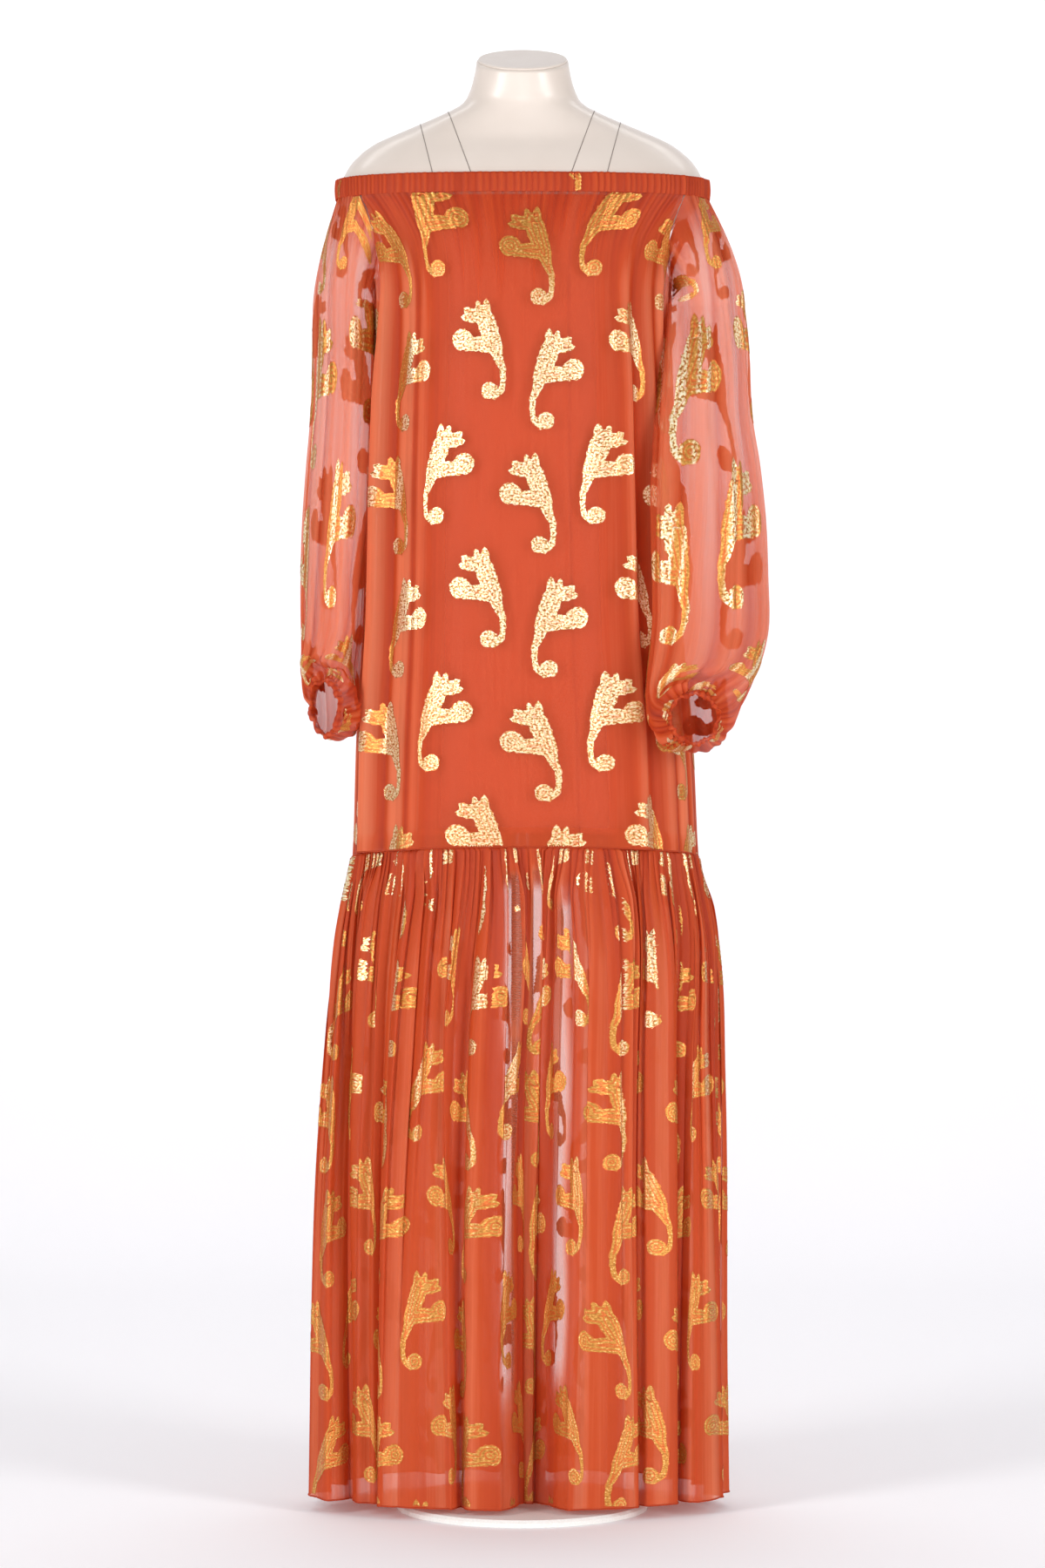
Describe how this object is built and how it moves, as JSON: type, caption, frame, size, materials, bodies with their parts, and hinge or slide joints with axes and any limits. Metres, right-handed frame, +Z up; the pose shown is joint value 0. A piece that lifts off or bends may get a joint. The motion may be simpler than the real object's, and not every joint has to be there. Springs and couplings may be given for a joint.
{
  "type": "maxi dress on limbless dress form",
  "caption": "Off-shoulder maxi dress with elastic neckline, full sheer sleeves and a gathered skirt tier, worn by a torso dress form on a pole and round foot.",
  "frame": {"origin": "centre of the underside of the form's round foot, on the floor", "axes": "+Z up, -Y the way the dress faces, +X the wearer's left"},
  "size_m": [0.5217, 0.3039, 1.6496],
  "materials": {
    "chiffon": "sheer silk chiffon with metallic gold clip motifs",
    "lining": "matt crepe lining",
    "form_gloss": "gloss moulded shell",
    "pole_steel": "polished tube",
    "foot_paint": "satin powder coat"
  },
  "bodies": {
    "root": {"neckline_band": "chiffon", "bodice_front": "chiffon", "bodice_back": "chiffon", "sleeve_left": "chiffon", "sleeve_right": "chiffon", "cuff_left": "chiffon", "cuff_right": "chiffon", "skirt_front": "chiffon", "skirt_back": "chiffon", "lining_slip": "lining", "form_torso": "form_gloss", "form_neck_cap": "form_gloss", "form_pole": "pole_steel", "form_foot": "foot_paint"}
  },
  "joints": []
}
